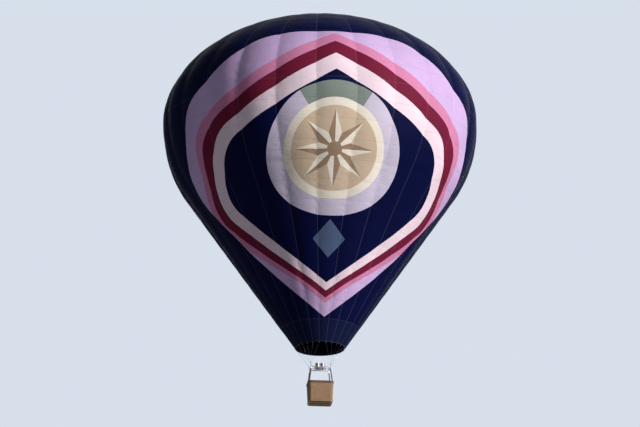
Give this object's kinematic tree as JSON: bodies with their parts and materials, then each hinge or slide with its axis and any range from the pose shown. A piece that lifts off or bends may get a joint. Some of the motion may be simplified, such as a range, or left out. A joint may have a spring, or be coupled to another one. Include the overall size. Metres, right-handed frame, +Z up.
{
  "type": "advertising hot-air balloon",
  "caption": "Hot-air balloon with a gored envelope for large artwork, a sliding parachute vent, flying wires, a gimballed burner on a load frame, and a wicker basket.",
  "frame": {"origin": "centre of the widest circle of the envelope, where the air holds the balloon up", "axes": "+Z up along the axis of the envelope, -Y towards the front with the round emblem, +X to the right seen from the front"},
  "size_m": [17.4, 17.4, 21.9582],
  "materials": {
    "navy_fabric": "coated ripstop nylon, semi-matt",
    "striped_fabric": "coated ripstop nylon, semi-matt",
    "heat_fabric": "heat-resistant aramid weave, matt",
    "webbing": "woven polyester load tape",
    "crown_alloy": "turned and polished",
    "wire_rope": "stranded stainless wire rope",
    "karabiner_steel": "zinc plated, satin",
    "frame_steel": "brushed stainless tube",
    "burner_steel": "stainless, heat-tinted",
    "manifold_alloy": "machined and anodized",
    "valve_brass": "satin",
    "wicker": "woven willow and cane, varnished",
    "leather": "tanned hide, waxed",
    "rod_composite": "pultruded rod, satin",
    "plywood": "varnished marine plywood",
    "hardwood": "oiled hardwood",
    "cylinder_alloy": "brushed stainless shell",
    "red_paint": "gloss enamel"
  },
  "bodies": {
    "balloon": {"envelope_crown_panels": "navy_fabric", "envelope_upper_panels": "striped_fabric", "envelope_lower_panels": "navy_fabric", "envelope_mouth_band": "heat_fabric", "load_tapes": "webbing", "crown_ring": "crown_alloy", "flying_wires_front_left": "wire_rope", "karabiner_front_left": "karabiner_steel", "flying_wires_front_right": "wire_rope", "karabiner_front_right": "karabiner_steel", "flying_wires_rear_right": "wire_rope", "karabiner_rear_right": "karabiner_steel", "flying_wires_rear_left": "wire_rope", "karabiner_rear_left": "karabiner_steel", "load_frame": "frame_steel", "basket_walls": "wicker", "basket_rim": "leather", "basket_binding": "leather", "basket_floor": "plywood", "floor_runner_1": "hardwood", "floor_runner_2": "hardwood", "floor_runner_3": "hardwood", "upright_front_left": "rod_composite", "upright_sleeve_front_left": "leather", "fuel_cylinder_front_left": "cylinder_alloy", "upright_front_right": "rod_composite", "upright_sleeve_front_right": "leather", "fuel_cylinder_front_right": "cylinder_alloy", "upright_rear_right": "rod_composite", "upright_sleeve_rear_right": "leather", "fuel_cylinder_rear_right": "cylinder_alloy", "upright_rear_left": "rod_composite", "upright_sleeve_rear_left": "leather", "fuel_cylinder_rear_left": "cylinder_alloy", "fire_extinguisher": "red_paint"},
    "parachute_vent": {"parachute_vent": "navy_fabric"},
    "gimbal": {"gimbal_ring": "frame_steel"},
    "burner": {"burner_manifold": "manifold_alloy", "burner_plate": "frame_steel", "burner_can_left": "burner_steel", "burner_coil_left": "burner_steel", "blast_valve_left": "valve_brass", "burner_can_right": "burner_steel", "burner_coil_right": "burner_steel", "blast_valve_right": "valve_brass"}
  },
  "joints": [
    {"name": "vent_slide", "type": "slide", "parent": "balloon", "child": "parachute_vent", "axis": [0, 0, 1], "range_m": [-1.5, 0]},
    {"name": "gimbal_roll", "type": "hinge", "parent": "balloon", "child": "gimbal", "pos_m": [0, 0, -13.9912], "axis": [1, 0, 0], "range_deg": [-12, 12]},
    {"name": "burner_pitch", "type": "hinge", "parent": "gimbal", "child": "burner", "pos_m": [0, 0, -13.9912], "axis": [0, 1, 0], "range_deg": [-12, 12]}
  ]
}
